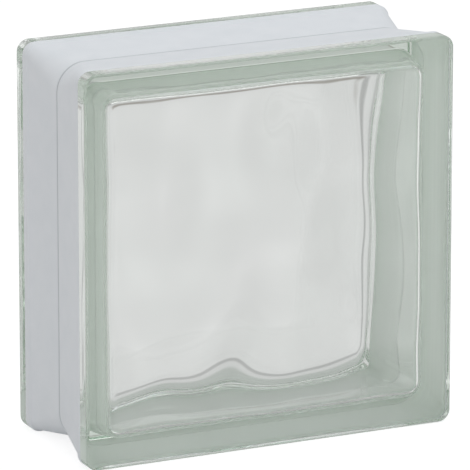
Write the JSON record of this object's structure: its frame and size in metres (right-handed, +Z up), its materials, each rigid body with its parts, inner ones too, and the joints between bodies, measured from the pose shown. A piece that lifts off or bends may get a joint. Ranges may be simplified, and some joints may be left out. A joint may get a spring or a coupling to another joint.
{
  "type": "glass block",
  "caption": "Square hollow glass building block with flat clear faces, a wavy inner relief, rounded lips and a white coating over the mortar channel round its edge.",
  "frame": {"origin": "under the middle of the block, on the plane that its lower lips stand on", "axes": "+Z up, +Y from the front face to the rear face, +X to the right along the front face"},
  "size_m": [0.19, 0.08, 0.19],
  "materials": {
    "glass": "clear pressed glass with a faint green tint",
    "coating": "matte white coating"
  },
  "bodies": {
    "root": {"front_half": "glass", "rear_half": "glass", "edge_coating": "coating"}
  },
  "joints": []
}
